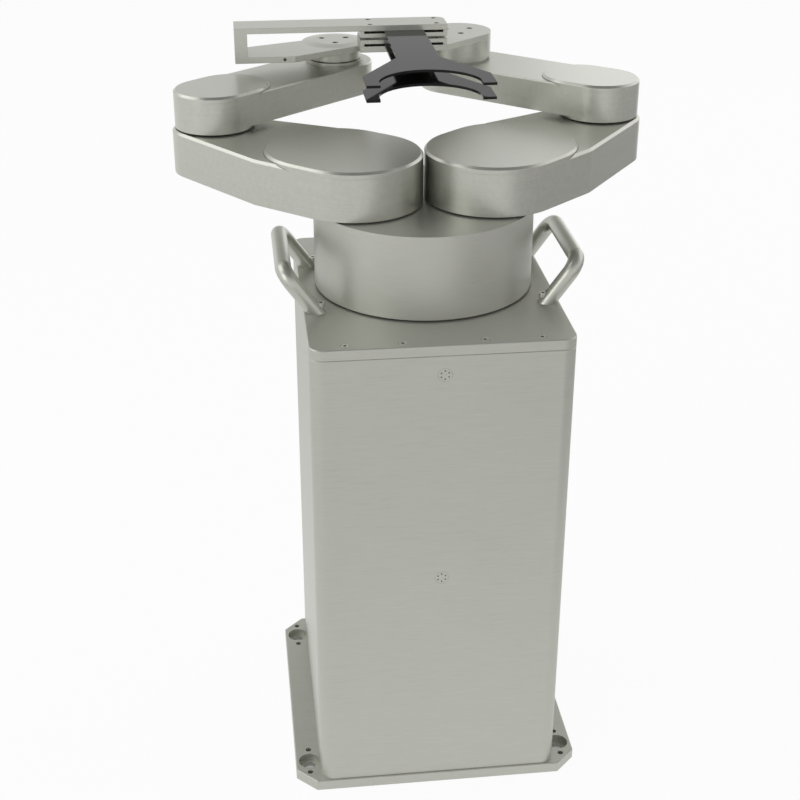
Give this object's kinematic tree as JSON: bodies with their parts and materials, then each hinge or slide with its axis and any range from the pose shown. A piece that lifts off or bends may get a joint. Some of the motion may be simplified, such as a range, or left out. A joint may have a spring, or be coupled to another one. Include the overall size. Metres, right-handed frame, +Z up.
{
  "type": "wafer handling robot",
  "caption": "Wafer handling robot: lift column on a floor flange, round turret, and folding belt-driven arms that carry stacked flat forks on straight strokes.",
  "frame": {"origin": "middle of the base flange's underside, on the floor", "axes": "+Z up along the lift, +X to the robot's right, -Y to the front, where the forks point"},
  "size_m": [0.5858, 0.5212, 0.875],
  "materials": {
    "column_grey": "brushed, warm grey anodised",
    "arm_grey": "fine brushed, warm grey anodised",
    "handle_grey": "satin",
    "fork_dark": "smooth black carbon composite",
    "steel": "bright steel",
    "inner_aluminium": "as machined",
    "motor_black": "black coated",
    "belt_black": "matt rubber"
  },
  "bodies": {
    "base": {"base_flange": "column_grey", "column_casing": "column_grey", "front_fasteners": "column_grey", "top_plate": "column_grey", "top_plate_screws": "steel", "left_handle": "handle_grey", "right_handle": "handle_grey", "handle_screws": "steel", "lift_spine": "inner_aluminium", "lift_rails": "steel", "lift_motor": "motor_black", "screw_bearings": "steel"},
    "screw": {"lift_screw": "steel"},
    "lift": {"rail_blocks": "steel", "lift_carriage": "inner_aluminium", "lift_tube": "inner_aluminium", "lift_nut": "steel", "theta_bearing": "steel", "theta_motor": "motor_black"},
    "turret": {"theta_shaft": "steel", "turret_drum": "column_grey", "turret_deck": "column_grey", "shoulder_bearings": "steel", "arm_motors": "motor_black", "shoulder_pulleys": "inner_aluminium"},
    "left_upper": {"left_upper_arm": "arm_grey", "left_upper_cover": "arm_grey", "left_upper_belt": "belt_black", "left_shoulder_shaft": "steel", "left_elbow_bearing": "steel", "left_elbow_post": "steel"},
    "left_fore": {"left_forearm": "arm_grey", "left_forearm_cover": "arm_grey", "left_forearm_belt": "belt_black", "left_elbow_shaft": "steel", "left_wrist_bearing": "steel"},
    "left_hand": {"left_wrist_shaft": "steel", "left_wrist_hub": "arm_grey", "left_hand_plate": "arm_grey", "left_hand_screws": "steel", "bridge_bracket": "arm_grey", "upper_clamp": "arm_grey", "upper_fork": "fork_dark"},
    "right_upper": {"right_upper_arm": "arm_grey", "right_upper_cover": "arm_grey", "right_upper_belt": "belt_black", "right_shoulder_shaft": "steel", "right_elbow_bearing": "steel", "right_elbow_post": "steel"},
    "right_fore": {"right_forearm": "arm_grey", "right_forearm_cover": "arm_grey", "right_forearm_belt": "belt_black", "right_elbow_shaft": "steel", "right_wrist_bearing": "steel"},
    "right_hand": {"right_wrist_shaft": "steel", "right_wrist_hub": "arm_grey", "right_hand_plate": "arm_grey", "right_hand_screws": "steel", "lower_clamp": "arm_grey", "lower_fork": "fork_dark"}
  },
  "joints": [
    {"name": "lift_slide", "type": "slide", "parent": "base", "child": "lift", "axis": [0, 0, 1], "range_m": [0, 0.3]},
    {"name": "screw_turn", "type": "hinge", "parent": "base", "child": "screw", "pos_m": [0.105, 0.12, 0.3], "axis": [0, 0, 1], "range_deg": [-5400, 0]},
    {"name": "turret_turn", "type": "hinge", "parent": "lift", "child": "turret", "pos_m": [0, 0.018, 0.66], "axis": [0, 0, 1], "range_deg": [-170, 170]},
    {"name": "left_shoulder", "type": "hinge", "parent": "turret", "child": "left_upper", "pos_m": [-0.082, 0.018, 0.74], "axis": [0, 0, 1], "range_deg": [0, 118]},
    {"name": "left_elbow", "type": "hinge", "parent": "left_upper", "child": "left_fore", "pos_m": [-0.24087, 0.1561, 0.79], "axis": [0, 0, 1], "range_deg": [-236, 0]},
    {"name": "left_wrist", "type": "hinge", "parent": "left_fore", "child": "left_hand", "pos_m": [-0.082, 0.2942, 0.82], "axis": [0, 0, 1], "range_deg": [0, 118]},
    {"name": "right_shoulder", "type": "hinge", "parent": "turret", "child": "right_upper", "pos_m": [0.082, 0.018, 0.74], "axis": [0, 0, 1], "range_deg": [-118, 0]},
    {"name": "right_elbow", "type": "hinge", "parent": "right_upper", "child": "right_fore", "pos_m": [0.24087, 0.1561, 0.79], "axis": [0, 0, 1], "range_deg": [0, 236]},
    {"name": "right_wrist", "type": "hinge", "parent": "right_fore", "child": "right_hand", "pos_m": [0.082, 0.2942, 0.82], "axis": [0, 0, 1], "range_deg": [-118, 0]}
  ],
  "couplings": [
    {"joint": "screw_turn", "follows": "lift_slide", "rad_per_m": -314.16},
    {"joint": "left_elbow", "follows": "left_shoulder", "ratio": -2},
    {"joint": "left_wrist", "follows": "left_shoulder", "ratio": 1},
    {"joint": "right_elbow", "follows": "right_shoulder", "ratio": -2},
    {"joint": "right_wrist", "follows": "right_shoulder", "ratio": 1}
  ]
}
